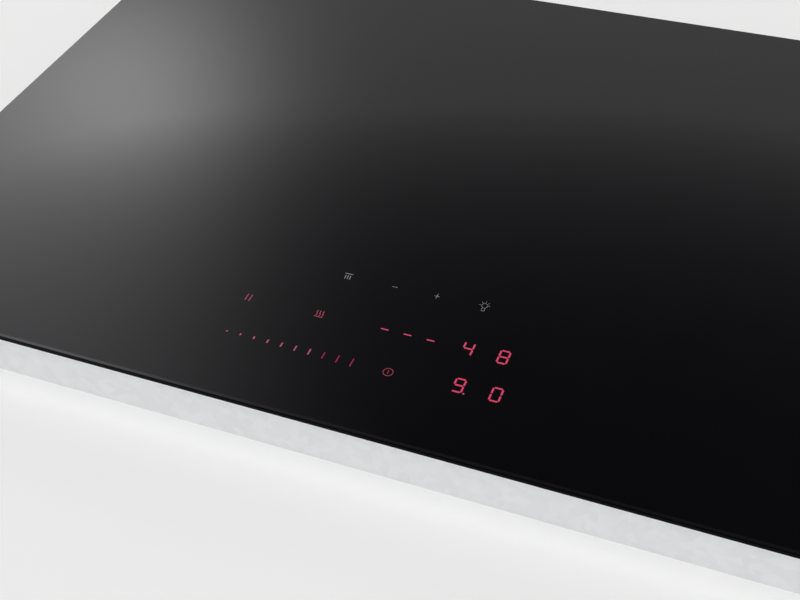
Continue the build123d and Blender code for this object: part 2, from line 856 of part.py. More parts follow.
# Film capacitors, in a row along each board's front
with BuildPart() as film_capacitors:
    for index in range(film_count):
        middle_x = -power_board_far + film_side_inset + index * film_pitch
        low_y = power_board_front + film_front_inset
        slab(
            middle_x - film_width / 2,
            low_y,
            board_top,
            middle_x + film_width / 2,
            low_y + film_thick,
            board_top + film_height,
        )
    mirror(about=Plane.YZ)
finish(film_capacitors, "film_capacitors")

# Electrolytic capacitors
with BuildPart() as bulk_capacitors:
    bulk_y = power_board_front + bulk_front_inset
    first_bulk_x = -power_board_far + film_side_inset
    bulk_spots = [(first_bulk_x + index * bulk_pitch, bulk_y) for index in range(bulk_count)]
    with BuildSketch(Plane.XY.offset(board_top)) as cans:
        with Locations(*bulk_spots):
            RegularPolygon(bulk_radius, 2 * fastener_sides)
    extrude(cans.sketch, amount=bulk_height)
    mirror(about=Plane.YZ)
finish(bulk_capacitors, "bulk_capacitors")

# Filter board between the power boards, in front of the blowers
filter_half = filter_width / 2
with BuildPart() as filter_board:
    slab(-filter_half, filter_front, board_low, filter_half, filter_back, board_top)
finish(filter_board, "filter_board")

# Chokes: two wound rings standing on the filter board
with BuildPart() as filter_chokes:
    for side in (-1, 1):
        choke_x = side * choke_spacing / 2
        choke_y = (filter_front + filter_back) / 2
        core_place = Plane((choke_x, choke_y - choke_thick / 2, board_top + choke_radius), z_dir=(0, 1, 0))
        with BuildSketch(core_place) as core:
            RegularPolygon(choke_radius, bore_sides)
            RegularPolygon(choke_bore, bore_sides, mode=Mode.SUBTRACT)
        extrude(core.sketch, amount=choke_thick)
        base_low = choke_y - choke_thick / 2
        slab(
            choke_x - choke_bore,
            base_low,
            board_top,
            choke_x + choke_bore,
            base_low + choke_thick,
            board_top + choke_radius - choke_bore,
        )
finish(filter_chokes, "filter_chokes")

# Standby transformer: coil former between the legs of its core
with BuildPart() as standby_transformer:
    former_y = filter_front + transformer_depth
    with BuildSketch(Plane.XY.offset(board_top)) as former:
        with Locations((0, former_y)):
            Rectangle(transformer_width, transformer_depth * transformer_core_share)
            Rectangle(transformer_width * transformer_core_share, transformer_depth)
    extrude(former.sketch, amount=transformer_height)
finish(standby_transformer, "standby_transformer")

# Connectors on the filter board: ribbon at the front, mains leads at the back
connector_top = board_top + connector_height
with BuildPart() as board_connectors:
    ribbon_end = (-choke_spacing / 2, filter_front + connector_depth)
    leads_end = (0, filter_back - connector_depth)
    for middle_x, middle_y in (ribbon_end, leads_end):
        slab(
            middle_x - connector_width / 2,
            middle_y - connector_depth / 2,
            board_top,
            middle_x + connector_width / 2,
            middle_y + connector_depth / 2,
            connector_top,
        )
finish(board_connectors, "board_connectors")

# Hexagonal supports under the boards
with BuildPart() as board_supports:
    left_spots = corner_spots(-power_board_far, power_board_front, -power_board_near, power_board_back)
    right_spots = [(-across, along) for across, along in left_spots]
    filter_spots = corner_spots(-filter_half, filter_front, filter_half, filter_back)
    support_spots = left_spots + right_spots + filter_spots
    stud(support_spots, support_radius, sheet, board_low)
finish(board_supports, "board_supports")


def lead_spots(zone):
    """Where a coil's two leads drop to the power board."""
    name, middle_x, middle_y, radius, lead_angle, lead_distance = zone
    return [polar((middle_x, middle_y), lead_distance + step * lead_pitch, lead_angle) for step in (0, 1)]


# Coil trays: aluminium plates on posts, with vents and holes for the coils' leads
with BuildPart() as coil_trays:
    for side in (-1, 1):
        slab(side * tray_near, tray_front, tray_low, side * tray_far, tray_back, tray_top)
    for zone in zones:
        stud(lead_spots(zone), lead_radius + lead_hole_gap, tray_low, tray_top, Mode.SUBTRACT)
        with BuildSketch(Plane.XY.offset(tray_low)) as vents:
            with Locations((zone[1], zone[2])):
                Rectangle(tray_vent_length, tray_vent_width)
        extrude(vents.sketch, amount=tray_thick, mode=Mode.SUBTRACT)
finish(coil_trays, "coil_trays")

# Posts that carry the trays on the pan's floor
with BuildPart() as tray_posts:
    post_spots = [
        (side * across, along)
        for side in (-1, 1)
        for across in (tray_post_near, tray_post_far)
        for along in (tray_post_front, tray_post_back)
    ]
    stud(post_spots, tray_post_radius, sheet, tray_low)
finish(tray_posts, "tray_posts")

# Coil carriers: a hub and arms, with the ferrite bars below and the winding above
arm_start = full_turn / 2 / carrier_arms
with BuildPart() as coil_carriers:
    for name, middle_x, middle_y, radius, lead_angle, lead_distance in zones:
        with BuildSketch(Plane((middle_x, middle_y, coil_carrier_low))) as spider:
            RegularPolygon(carrier_hub, carrier_arms)
            with PolarLocations(radius / 2, carrier_arms, start_angle=arm_start):
                Rectangle(radius, carrier_arm)
            RegularPolygon(carrier_bore, carrier_arms, mode=Mode.SUBTRACT)
        extrude(spider.sketch, amount=carrier_thick)
finish(coil_carriers, "coil_carriers")

# Windings, one for each zone
for name, middle_x, middle_y, radius, lead_angle, lead_distance in zones:
    with BuildPart() as coil_winding:
        with BuildSketch(Plane((middle_x, middle_y, winding_low))):
            Circle(radius - coil_rim)
            Circle(coil_bore_share * radius, mode=Mode.SUBTRACT)
        extrude(amount=coil_thick)
    finish(coil_winding, f"coil_winding_{name}")

# Ferrite bars under the carriers' arms
with BuildPart() as ferrite_bars:
    for name, middle_x, middle_y, radius, lead_angle, lead_distance in zones:
        bar_length = radius - coil_rim - ferrite_start
        with BuildSketch(Plane((middle_x, middle_y, ferrite_low))) as bars:
            with PolarLocations(ferrite_start + bar_length / 2, carrier_arms, start_angle=arm_start):
                Rectangle(bar_length, ferrite_width)
        extrude(bars.sketch, amount=ferrite_thick)
finish(ferrite_bars, "ferrite_bars")

# Temperature sensors in the middle of the coils, pressed up to the glass
with BuildPart() as temperature_sensors:
    sensor_spots = [(zone[1], zone[2]) for zone in zones]
    stud(sensor_spots, sensor_radius, coil_carrier_low, built_in_height - sensor_play)
    stud(sensor_spots, sensor_flange_radius, winding_low, winding_low + sensor_flange_thick)
finish(temperature_sensors, "temperature_sensors")

# Mica sheets between the windings and the glass, one for each side
with BuildPart() as mica_sheets:
    for side_name in ("left", "right"):
        side_zones = [zone for zone in zones if zone[0].endswith(side_name)]
        low_y = min(zone[2] - zone[3] for zone in side_zones)
        high_y = max(zone[2] + zone[3] for zone in side_zones)
        wide = 2 * max(zone[3] for zone in side_zones)
        with BuildSketch(Plane.XY.offset(winding_low + coil_thick)) as outline:
            with Locations((side_zones[0][1], (low_y + high_y) / 2)):
                Rectangle(wide, high_y - low_y)
            with Locations(*[(zone[1], zone[2]) for zone in side_zones]):
                RegularPolygon(sensor_flange_radius, fastener_sides, mode=Mode.SUBTRACT)
        extrude(outline.sketch, amount=mica_thick)
finish(mica_sheets, "mica_sheets")

# Leaf springs that press the carriers up from the trays
with BuildPart() as leaf_springs:
    for name, middle_x, middle_y, radius, lead_angle, lead_distance in zones:
        low = spring_thick / 2
        high = spring_height - spring_thick / 2
        first_angle = spring_first_angle + (quarter_turn if lead_angle < 0 else 0)
        for turn in range(spring_count):
            angle = first_angle + turn * quarter_turn
            spot = polar((middle_x, middle_y), spring_places_share * radius, angle)
            tangent = (-sin(radians(angle)), cos(radians(angle)), 0)
            outward = (cos(radians(angle)), sin(radians(angle)), 0)
            spring_place = Plane((*spot, tray_top), x_dir=tangent, z_dir=outward)
            with BuildSketch(spring_place) as strip:
                with BuildLine() as bend:
                    Polyline(
                        (-spring_span / 2 - spring_foot, low),
                        (-spring_span / 2, low),
                        (-spring_foot / 2, high),
                        (spring_foot / 2, high),
                        (spring_span / 2, low),
                        (spring_span / 2 + spring_foot, low),
                    )
                trace(bend.line, line_width=spring_thick)
            extrude(strip.sketch, amount=spring_width / 2, both=True)
finish(leaf_springs, "leaf_springs")

# Coil leads down to the power boards
with BuildPart() as coil_leads:
    for zone in zones:
        stud(lead_spots(zone), lead_radius, board_top, winding_low)
finish(coil_leads, "coil_leads")


# Control carrier: an open moulded tray on four legs, pressed up under the glass's front edge
control_half = control_width / 2
ribbon_x = -choke_spacing / 2
ribbon_drop_y = control_high_y - control_leg_inset
ribbon_end_y = filter_front + connector_depth
with BuildPart() as control_carrier:
    slab(-control_half, control_low_y, carrier_low, control_half, control_high_y, carrier_top)
    slab(
        -control_half + carrier_wall,
        control_low_y + carrier_wall,
        carrier_low + carrier_wall,
        control_half - carrier_wall,
        control_high_y - carrier_wall,
        carrier_top + overrun,
        Mode.SUBTRACT,
    )
    leg_spots = [
        (side * (control_half - control_leg_inset), along)
        for side in (-1, 1)
        for along in (control_low_y + control_leg_inset, control_high_y - control_leg_inset)
    ]
    stud(leg_spots, control_leg_radius, sheet, carrier_low)
    stud(leg_spots, control_leg_radius, carrier_low, control_board_low)
    slab(
        ribbon_x - ribbon_width / 2 - control_board_play,
        ribbon_drop_y - ribbon_thick - control_board_play,
        carrier_low - overrun,
        ribbon_x + ribbon_width / 2 + control_board_play,
        ribbon_drop_y + ribbon_thick + control_board_play,
        carrier_low + overrun,
        Mode.SUBTRACT,
    )
finish(control_carrier, "control_carrier")

# Control board on the carrier's rests
board_inset = carrier_wall + control_board_play
with BuildPart() as control_board:
    slab(
        -control_half + board_inset,
        control_low_y + board_inset,
        control_board_low,
        control_half - board_inset,
        control_high_y - board_inset,
        control_board_top,
    )
finish(control_board, "control_board")

# Digit modules, one for each zone
with BuildPart() as zone_displays:
    for across, distance in digit_places:
        slab(
            across - digit_width / 2,
            front_edge + distance - digit_height / 2,
            control_board_top,
            across + digit_width / 2,
            front_edge + distance + digit_height / 2,
            under_glass,
        )
finish(zone_displays, "zone_displays")

# Timer module with three digits
with BuildPart() as timer_display:
    slab(
        timer_middle - timer_width / 2,
        front_edge + timer_row - digit_height / 2,
        control_board_top,
        timer_middle + timer_width / 2,
        front_edge + timer_row + digit_height / 2,
        under_glass,
    )
finish(timer_display, "timer_display")

# Slider light guide: a comb with one tooth for each bar of the slider
slider_y = front_edge + slider_row
slider_length = (slider_count - 1) * slider_pitch
with BuildPart() as slider_light_guide:
    guide_place = Plane((slider_start, slider_y, control_board_top), x_dir=(1, 0, 0), z_dir=(0, -1, 0))
    with BuildSketch(guide_place) as comb:
        plate(-slider_bar_width, 0, slider_length + slider_bar_width, slider_rail_height)
        for tooth in range(slider_count):
            middle = tooth * slider_pitch
            half_tooth = slider_bar_width / 2
            plate(middle - half_tooth, 0, middle + half_tooth, under_glass - control_board_top)
    extrude(comb.sketch, amount=slider_bar_length / 2, both=True)
finish(slider_light_guide, "slider_light_guide")

# Touch pads between the control board and the glass, one under each key
with BuildPart() as touch_pads:
    pad_spots = [(across, front_edge + distance) for across, distance in pad_places]
    stud(pad_spots, pad_radius, control_board_top, under_glass)
finish(touch_pads, "touch_pads")

# Ribbon cable from the control board down to the filter board
with BuildPart() as ribbon_cable:
    ribbon_turn_z = (carrier_low + connector_top) / 2
    with BuildSketch(Plane((ribbon_x, 0, 0), x_dir=(0, 1, 0), z_dir=(1, 0, 0))) as strip:
        with BuildLine() as route:
            FilletPolyline(
                (ribbon_drop_y, control_board_low),
                (ribbon_drop_y, ribbon_turn_z),
                (ribbon_end_y, ribbon_turn_z),
                (ribbon_end_y, connector_top),
                radius=ribbon_bend,
            )
        trace(route.line, line_width=ribbon_thick)
    extrude(strip.sketch, amount=ribbon_width / 2, both=True)
finish(ribbon_cable, "ribbon_cable")

# Terminal box: moulded, open to the back behind its cover, with an upright slot for the cable gland beside it
window_low = mains_lead_height - lead_window_height / 2
window_high = mains_lead_height + lead_window_height / 2
cord_posts = [(entry_x - cord_post_offset, clamp_bar_y), (entry_x + cord_post_offset, clamp_bar_y)]
rear_wall = box_back - box_wall
slot_half = gland_half + gland_play
hinge_place = Plane((0, hinge_y, hinge_z), x_dir=(0, 1, 0), z_dir=(1, 0, 0))
stop_back = hinge_y - cover_thick / 2 - seat_gap
with BuildPart() as terminal_box:
    slab(box_left, box_front, box_low, box_right, box_back, box_top)
    slab(
        box_left + box_wall,
        box_front + box_wall,
        box_floor,
        box_right - box_wall,
        rear_wall,
        box_ceiling,
        Mode.SUBTRACT,
    )
    slab(cover_left, rear_wall, box_floor, cover_right, box_back + overrun, box_ceiling, Mode.SUBTRACT)
    slab(
        cover_left,
        hinge_y - hinge_barrel_radius - seat_gap,
        box_low - overrun,
        cover_right,
        box_back + overrun,
        box_floor,
        Mode.SUBTRACT,
    )
    slab(cover_right, stop_back - box_wall, box_low, cover_right + box_wall, box_back, box_ceiling)
    slab(cover_left, stop_back - box_wall, box_ceiling - box_wall, cover_right, stop_back, box_ceiling)
    stud(cord_posts, cord_post_radius, box_floor, cord_post_top)
    stud(cord_posts, small_bore, cord_post_top - cord_screw_length, cord_post_top, Mode.SUBTRACT)
    slab(
        entry_x - slot_half,
        rear_wall,
        entry_z - slot_half,
        entry_x + slot_half,
        box_back + overrun,
        box_top + overrun,
        Mode.SUBTRACT,
    )
    with BuildSketch(hinge_place.offset(box_left)) as pin_bore:
        Circle(hinge_pin_radius + running_gap)
    extrude(pin_bore.sketch, amount=cover_right + box_wall - box_left, mode=Mode.SUBTRACT)
    slab(
        window_middle - lead_window_width / 2,
        box_front - overrun,
        window_low,
        window_middle + lead_window_width / 2,
        box_front + box_wall,
        window_high,
        Mode.SUBTRACT,
    )
    stud(box_screw_spots, small_bore, box_ceiling, box_top, Mode.SUBTRACT)
finish(terminal_box, "terminal_box")

# Cable gland: a square neck between two flanges, dropped into the box's slot, with a round tube for the cable
gland_back = pan_back
entry_place = Plane((entry_x, gland_back, entry_z), x_dir=(1, 0, 0), z_dir=(0, -1, 0))
with BuildPart() as cable_gland:
    neck_left = entry_x - gland_half
    neck_right = entry_x + gland_half
    slab(neck_left, rear_wall, entry_z - gland_half, neck_right, gland_back, box_top)
    for back, top in ((gland_back, box_top), (rear_wall, box_ceiling - gland_play)):
        slab(
            neck_left - gland_flange_reach,
            back - gland_flange_thick,
            entry_z - gland_half - gland_flange_reach,
            neck_right + gland_flange_reach,
            back,
            top,
        )
    with BuildSketch(entry_place.offset(gland_back - rear_wall)) as tube:
        Circle(gland_half)
    extrude(tube.sketch, amount=gland_length - gland_back + rear_wall)
    with BuildSketch(entry_place.offset(-overrun)) as bore:
        Circle(entry_radius)
    extrude(bore.sketch, amount=gland_length + 2 * overrun, mode=Mode.SUBTRACT)
finish(cable_gland, "cable_gland")

# Terminal cover, hinged along its lower edge
with BuildPart() as terminal_cover:
    slab(
        cover_left + cover_gap,
        hinge_y - cover_thick / 2,
        hinge_z,
        cover_right - cover_gap,
        hinge_y + cover_thick / 2,
        box_ceiling - cover_gap,
    )
    grip_middle = (cover_left + cover_right) / 2
    grip_top = box_ceiling - cover_gap
    slab(
        grip_middle - cover_grip_width / 2,
        hinge_y + cover_thick / 2,
        grip_top - cover_grip_height,
        grip_middle + cover_grip_width / 2,
        hinge_y + cover_thick / 2 + cover_grip_depth,
        grip_top,
    )
    with BuildSketch(hinge_place.offset(cover_left + cover_gap)) as barrel:
        Circle(hinge_barrel_radius)
    extrude(barrel.sketch, amount=cover_right - cover_left - 2 * cover_gap)
    with BuildSketch(hinge_place.offset(cover_left + cover_gap - hinge_pin_length)) as pins:
        Circle(hinge_pin_radius)
    extrude(pins.sketch, amount=cover_right - cover_left - 2 * cover_gap + 2 * hinge_pin_length)
finish(terminal_cover, "terminal_cover")

# Terminal block with a wire hole and a screw well for each pole
terminal_back = terminal_front + terminal_depth
pole_spots = [
    (terminal_left + terminal_pitch / 2 + index * terminal_pitch, terminal_back - terminal_screw_setback)
    for index in range(terminal_count)
]
well_low = terminal_top - terminal_well_depth
with BuildPart() as terminal_block:
    terminal_right = terminal_left + terminal_width
    slab(terminal_left, terminal_front, box_floor, terminal_right, terminal_back, terminal_top)
    wire_z = box_floor + terminal_wire_radius * 2
    with BuildSketch(Plane((0, terminal_back, 0), x_dir=(1, 0, 0), z_dir=(0, -1, 0))) as wire_holes:
        with Locations(*[(across, wire_z) for across, along in pole_spots]):
            Rectangle(2 * terminal_wire_radius, 2 * terminal_wire_radius)
    extrude(wire_holes.sketch, amount=terminal_wire_depth, mode=Mode.SUBTRACT)
    stud(pole_spots, terminal_screw_head_radius + hole_gap, well_low, terminal_top, Mode.SUBTRACT)
    stud(pole_spots, terminal_screw_radius + hole_gap, wire_z, terminal_top, Mode.SUBTRACT)
finish(terminal_block, "terminal_block")

# Terminal screws in the wells
with BuildPart() as terminal_screws:
    stud(pole_spots, terminal_screw_head_radius, well_low, well_low + terminal_screw_head_thick)
    stud(pole_spots, terminal_screw_radius, wire_z + terminal_wire_radius, well_low)
finish(terminal_screws, "terminal_screws")

# Cable clamp: an arched bar across the two posts behind the cable entry
clamp_bar_half = cord_post_offset + cord_post_radius
with BuildPart() as cable_clamp:
    slab(
        entry_x - clamp_bar_half,
        clamp_bar_y - clamp_bar_depth / 2,
        cord_post_top,
        entry_x + clamp_bar_half,
        clamp_bar_y + clamp_bar_depth / 2,
        clamp_bar_top,
    )
    with BuildSketch(entry_place) as arch:
        Circle(entry_radius + cord_play)
    extrude(arch.sketch, amount=notch_depth, mode=Mode.SUBTRACT)
    stud(cord_posts, small_bore, cord_post_top, clamp_bar_top, Mode.SUBTRACT)
finish(cable_clamp, "cable_clamp")

# Screws of the cable clamp and of the terminal box
with BuildPart() as terminal_box_screws:
    stud(cord_posts, small_screw_head_radius, clamp_bar_top, clamp_bar_top + small_screw_head_thick)
    stud(cord_posts, small_screw_radius, cord_post_top - cord_screw_length, clamp_bar_top)
    stud(box_screw_spots, small_screw_head_radius, box_ceiling - small_screw_head_thick, box_ceiling)
    stud(box_screw_spots, small_screw_radius, box_ceiling, notch_height + 2 * sheet)
finish(terminal_box_screws, "terminal_box_screws")

# Mains leads from the terminal block, behind the right power board and between the blowers
with BuildPart() as mains_leads:
    for lane in (-1, 0, 1):
        shift = lane * mains_lead_pitch
        start = (window_middle + shift, terminal_front, mains_lead_height)
        with BuildLine() as route:
            FilletPolyline(
                start,
                (window_middle + shift, mains_lead_aisle - shift, mains_lead_height),
                (shift, mains_lead_aisle - shift, mains_lead_height),
                (shift, filter_back - connector_depth / 2, mains_lead_height),
                radius=mains_lead_bend,
            )
        with BuildSketch(Plane(start, x_dir=(1, 0, 0), z_dir=(0, -1, 0))) as wire:
            RegularPolygon(mains_lead_radius, fastener_sides)
        sweep(wire.sketch, path=route.line)
finish(mains_leads, "mains_leads")
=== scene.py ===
"""Looks of the built-in induction cooktop: materials, control marks, studio light and camera."""

import json
from math import cos, pi, radians, sin

import bpy
from mathutils import Matrix, Vector


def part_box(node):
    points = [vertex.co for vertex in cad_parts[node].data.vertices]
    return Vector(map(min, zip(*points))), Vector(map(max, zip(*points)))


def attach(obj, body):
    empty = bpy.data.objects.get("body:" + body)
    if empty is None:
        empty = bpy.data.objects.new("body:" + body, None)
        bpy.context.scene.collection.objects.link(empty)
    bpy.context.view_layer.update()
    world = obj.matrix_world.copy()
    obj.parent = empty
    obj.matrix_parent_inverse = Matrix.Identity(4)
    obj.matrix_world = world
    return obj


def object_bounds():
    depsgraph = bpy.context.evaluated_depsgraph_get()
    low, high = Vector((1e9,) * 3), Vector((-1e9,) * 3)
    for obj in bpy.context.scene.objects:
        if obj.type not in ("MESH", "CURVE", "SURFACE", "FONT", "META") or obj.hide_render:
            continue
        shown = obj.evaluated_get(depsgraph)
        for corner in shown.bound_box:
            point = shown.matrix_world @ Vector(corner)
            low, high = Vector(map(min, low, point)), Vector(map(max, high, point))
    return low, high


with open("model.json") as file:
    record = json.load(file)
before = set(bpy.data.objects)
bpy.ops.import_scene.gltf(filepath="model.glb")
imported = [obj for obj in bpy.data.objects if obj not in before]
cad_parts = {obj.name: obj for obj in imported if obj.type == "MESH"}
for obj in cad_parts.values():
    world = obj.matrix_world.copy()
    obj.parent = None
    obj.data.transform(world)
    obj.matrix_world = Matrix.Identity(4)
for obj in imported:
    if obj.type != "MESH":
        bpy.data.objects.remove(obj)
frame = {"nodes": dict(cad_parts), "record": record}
cad_low, cad_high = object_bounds()
housing = "housing"
millimetre = 0.001
half_turn = 180.0
full_turn = 360.0

# Camera, in metres and degrees, with the photograph's frame in pixels
picture_width = 800.0
focal_pixels = 1250.0
centre_shift = (0.0008, -0.0094)
camera_place = Vector((0.2497, -0.6889, 0.6048))
camera_left = 24.26
camera_down = 42.22
camera_roll = -3.71
sensor_width = 36.0
near_clip = 0.01

# Materials: textures are sized in repeats per metre, relief in metres, and tones are shares of a colour
even_stretch = (1.0, 1.0, 1.0)
flat_stretch = (1.0, 1.0, 0.0)
soft_ramp = (0.3, 0.7)
wide_ramp = (0.1, 0.9)
groove_shade_ramp = (0.05, 0.35)
grains_per_cloud = 40
brush_scale = 300.0
brush_detail = 3.0
brush_tones = (0.93, 1.04)
brush_rough = 0.07
brush_depth = 0.00001
spangle_scale = 160.0
spangle_metallic = 0.75
spangle_wander = 0.004
spangle_tones = (0.97, 1.02)
spangle_rough = (-0.02, 0.03)
spangle_depth = 0.00001
glass_colour = (0.0016, 0.0016, 0.0024)
glass_gleam = (0.97, 0.97, 1.0, 1.0)
glass_roughness = 0.03
glass_ior = 1.5
haze_scale = 18.0
haze_detail = 3.0
haze_tones = (0.85, 1.15)
haze_rough = (0.02, 0.05)
winding_colour = (0.55, 0.22, 0.09)
winding_roughness = 0.35
winding_metallic = 0.8
strand_pitch = 3 * millimetre
half_strand = 0.5
# The darker strand tone is painted shade in the grooves between strands; the lighter one is the copper.
strand_and_groove_shade_tones = (0.35, 1.1)
strand_depth = 0.0006
board_roughness = 0.35
track_scale = 90.0
track_gap = 0.03
track_tone = 0.85
gap_tone = 1.5
track_depth = 0.00004
lamp_ground = (0.02, 0.002, 0.004)
print_ground = (0.2, 0.2, 0.2)
lamp_roughness = 0.25
lamp_scale = 900.0
lamp_detail = 2.0
lamp_tones = (0.9, 1.08)

# The glass is glossy on top and matt on its edge. Its facet is partly polished, down to this many millimetres
# below the top. Facet and edge are told by how far up they face.
facet_rise = 0.707
edge_rise = 0.0
facet_polish = 1.15
facet_gloss = 0.62
glass_gloss = (0.5, 0.03)

# Control marks in millimetres: rows measured back from the glass's front edge, places across from its middle
mark_thick = 0.05
along_row = 0.0
slider_row = 52.05
slider_first = -91.0
slider_pitch = 9.69
slider_count = 10
slider_shortest = 1.15
slider_longest = 7.0
slider_lit = 7
slider_lit_width = 1.02
slider_dim_width = 0.75
digit_half_width = 3.0
digit_half_height = 5.37
digit_stroke = 1.2
digit_gap = 0.22
digits = {
    "digit_rear_left": ("4", 60.2, 87.0),
    "digit_rear_right": ("8", 83.4, 87.0),
    "digit_front_left": ("9", 65.4, 55.6),
    "digit_front_right": ("0", 89.0, 55.6),
}
point_spot = (70.2, 49.9)
point_radius = 0.7
timer_row = 86.2
timer_places = (4.3, 19.9, 35.5)
timer_stroke = 0.95
power_spot = (20.6, 51.9)
power_radius = 3.1
power_bar = 3.1
power_stroke = 0.45
pause_row = 85.2
pause_places = (-93.6, -90.7)
pause_length = 6.1
pause_stroke = 0.7
warming_across = -40.9
warming_row = 86.4
warming_pitch = 2.1
warming_length = 4.8
warming_base_row = 83.1
warming_base = 6.0
warming_stroke = 0.6
hood_across = -38.0
hood_row = 124.5
hood_pitch = 1.7
hood_length = 3.7
hood_swing = 0.15
hood_top_spot = (-38.2, 127.9)
hood_top = 5.5
hood_stroke = 0.26
print_stroke = 0.17
minus_spot = (-4.5, 125.5)
minus_length = 3.9
plus_across = 24.95
plus_row = 125.95
plus_length = 3.6
plus_arm = 2.4

# The lamp mark, measured from the bulb's middle: a bulb open at the bottom, a cap below it and rays above it
bulb_across = 57.35
bulb_row = 127.5
bulb_radius = 2.0
bulb_start = -60.0
bulb_turn = 300.0
bulb_stroke = 0.135
cap_width = 2.1
cap_rows = (-5.2, -2.4)
cap_side = 1.0
cap_side_row = -3.8
cap_side_length = 2.4
ray_count = 5
ray_pitch = 45.0
ray_across = 3.1
ray_back = 3.6
ray_length = 1.0

# Which segments of a digit are lit, named from the top round to the left, then the middle one
segments_of = {
    "0": "abcdef",
    "4": "bcfg",
    "8": "abcdefg",
    "9": "abcdfg",
    "-": "g",
}

# Floor
floor_reach = 40.0
floor_colour = (0.76, 0.76, 0.757)
floor_roughness = 0.6
floor_grain = 60.0
floor_spread = 0.01
floor_specular = 0.2

# Surroundings, by degrees above the horizon: a pale backdrop, and above it a grey wall that fades to dark
backdrop = 0.81
backdrop_end = 9.0
wall = 0.50
wall_start = 19.0
fade_start = 33.5
fade_level = 0.515
fade_reach = 3.75
overhead = 0.029
glow_cap = 1.2
glow_low = 23.0
glow_full = 33.0
bell_power = -0.5
white = (1.0, 1.0, 1.0, 1.0)

# The glows: degrees left of the back, width, reach upwards and level
glows = (
    (37.4, 4.3, 2.8, 1.42),
    (46.5, 8.3, 20.0, 1.2),
    (138.0, 7.5, 6.6, 2.6),
)

# The suns: name, degrees left of the back, degrees up, level and width in degrees
suns = (
    ("key", 150.0, 62.0, 1.85, 50.0),
    ("fill", -140.0, 58.0, 1.1, 50.0),
)


# Materials
def new_material(name, colour, roughness, metallic=0.0, specular=0.5):
    """A material with one surface shader; gives its nodes, links and shader too."""
    material = bpy.data.materials.new(name)
    material.use_nodes = True
    nodes = material.node_tree.nodes
    shader = nodes["Principled BSDF"]
    shader.inputs["Base Color"].default_value = (*colour, 1.0)
    shader.inputs["Roughness"].default_value = roughness
    shader.inputs["Metallic"].default_value = metallic
    shader.inputs["Specular IOR Level"].default_value = specular
    return material, nodes, material.node_tree.links, shader


def stretched_place(nodes, links, stretch=even_stretch):
    """The place on the object, stretched along its axes."""
    place = nodes.new("ShaderNodeTexCoord")
    mapping = nodes.new("ShaderNodeMapping")
    mapping.inputs["Scale"].default_value = stretch
    links.new(place.outputs["Object"], mapping.inputs["Vector"])
    return mapping.outputs["Vector"]


def noise(nodes, links, place, scale, detail=5.0):
    """A noise texture at a place."""
    texture = nodes.new("ShaderNodeTexNoise")
    texture.inputs["Scale"].default_value = scale
    texture.inputs["Detail"].default_value = detail
    links.new(place, texture.inputs["Vector"])
    return texture.outputs["Fac"]


def tint(colour, share):
    """A colour made lighter or darker by a share."""
    return (*(channel * share for channel in colour), 1.0)


def shades(nodes, links, factor, colour, tones, spots=soft_ramp):
    """A ramp from one tone of a colour to another."""
    ramp = nodes.new("ShaderNodeValToRGB")
    for element, tone, spot in zip(ramp.color_ramp.elements, tones, spots):
        element.color = tint(colour, tone)
        element.position = spot
    links.new(factor, ramp.inputs["Fac"])
    return ramp.outputs["Color"]


def between(nodes, links, factor, low, high):
    """A value that goes from low to high as the factor goes from nought to one."""
    span = nodes.new("ShaderNodeMapRange")
    span.inputs["To Min"].default_value = low
    span.inputs["To Max"].default_value = high
    links.new(factor, span.inputs["Value"])
    return span.outputs["Result"]


def calculate(nodes, links, operation, *values):
    """A sum on numbers and other nodes' results."""
    step = nodes.new("ShaderNodeMath")
    step.operation = operation
    for socket, value in zip(step.inputs, values):
        if isinstance(value, (int, float)):
            socket.default_value = value
        else:
            links.new(value, socket)
    return step.outputs["Value"]


def apart(nodes, links, vector):
    """The sockets of a vector's three shares."""
    split = nodes.new("ShaderNodeSeparateXYZ")
    links.new(vector, split.inputs["Vector"])
    return split.outputs["X"], split.outputs["Y"], split.outputs["Z"]


def bump(nodes, links, shader, height, depth):
    """Fine relief on the surface."""
    relief = nodes.new("ShaderNodeBump")
    relief.inputs["Distance"].default_value = depth
    relief.inputs["Strength"].default_value = 1.0
    links.new(height, relief.inputs["Height"])
    links.new(relief.outputs["Normal"], shader.inputs["Normal"])


def grained(name, colour, roughness, grain=1500.0, spread=0.08, depth=0.00003, specular=0.5):
    """A moulded or painted surface with a fine grain and a faint change of tone."""
    material, nodes, links, shader = new_material(name, colour, roughness, specular=specular)
    place = stretched_place(nodes, links)
    cloud = noise(nodes, links, place, grain / grains_per_cloud)
    fine = noise(nodes, links, place, grain)
    tone = shades(nodes, links, cloud, colour, (1 - spread, 1 + spread))
    links.new(tone, shader.inputs["Base Color"])
    rough = between(nodes, links, fine, roughness - spread, roughness + spread)
    links.new(rough, shader.inputs["Roughness"])
    bump(nodes, links, shader, fine, depth)
    return material


def brushed(name, colour, roughness, stretch, metallic=1.0):
    """Metal with fine lines along one axis."""
    material, nodes, links, shader = new_material(name, colour, roughness, metallic)
    place = stretched_place(nodes, links, stretch)
    lines = noise(nodes, links, place, brush_scale, brush_detail)
    links.new(shades(nodes, links, lines, colour, brush_tones), shader.inputs["Base Color"])
    rough = between(nodes, links, lines, roughness - brush_rough, roughness + brush_rough)
    links.new(rough, shader.inputs["Roughness"])
    bump(nodes, links, shader, lines, brush_depth)
    return material


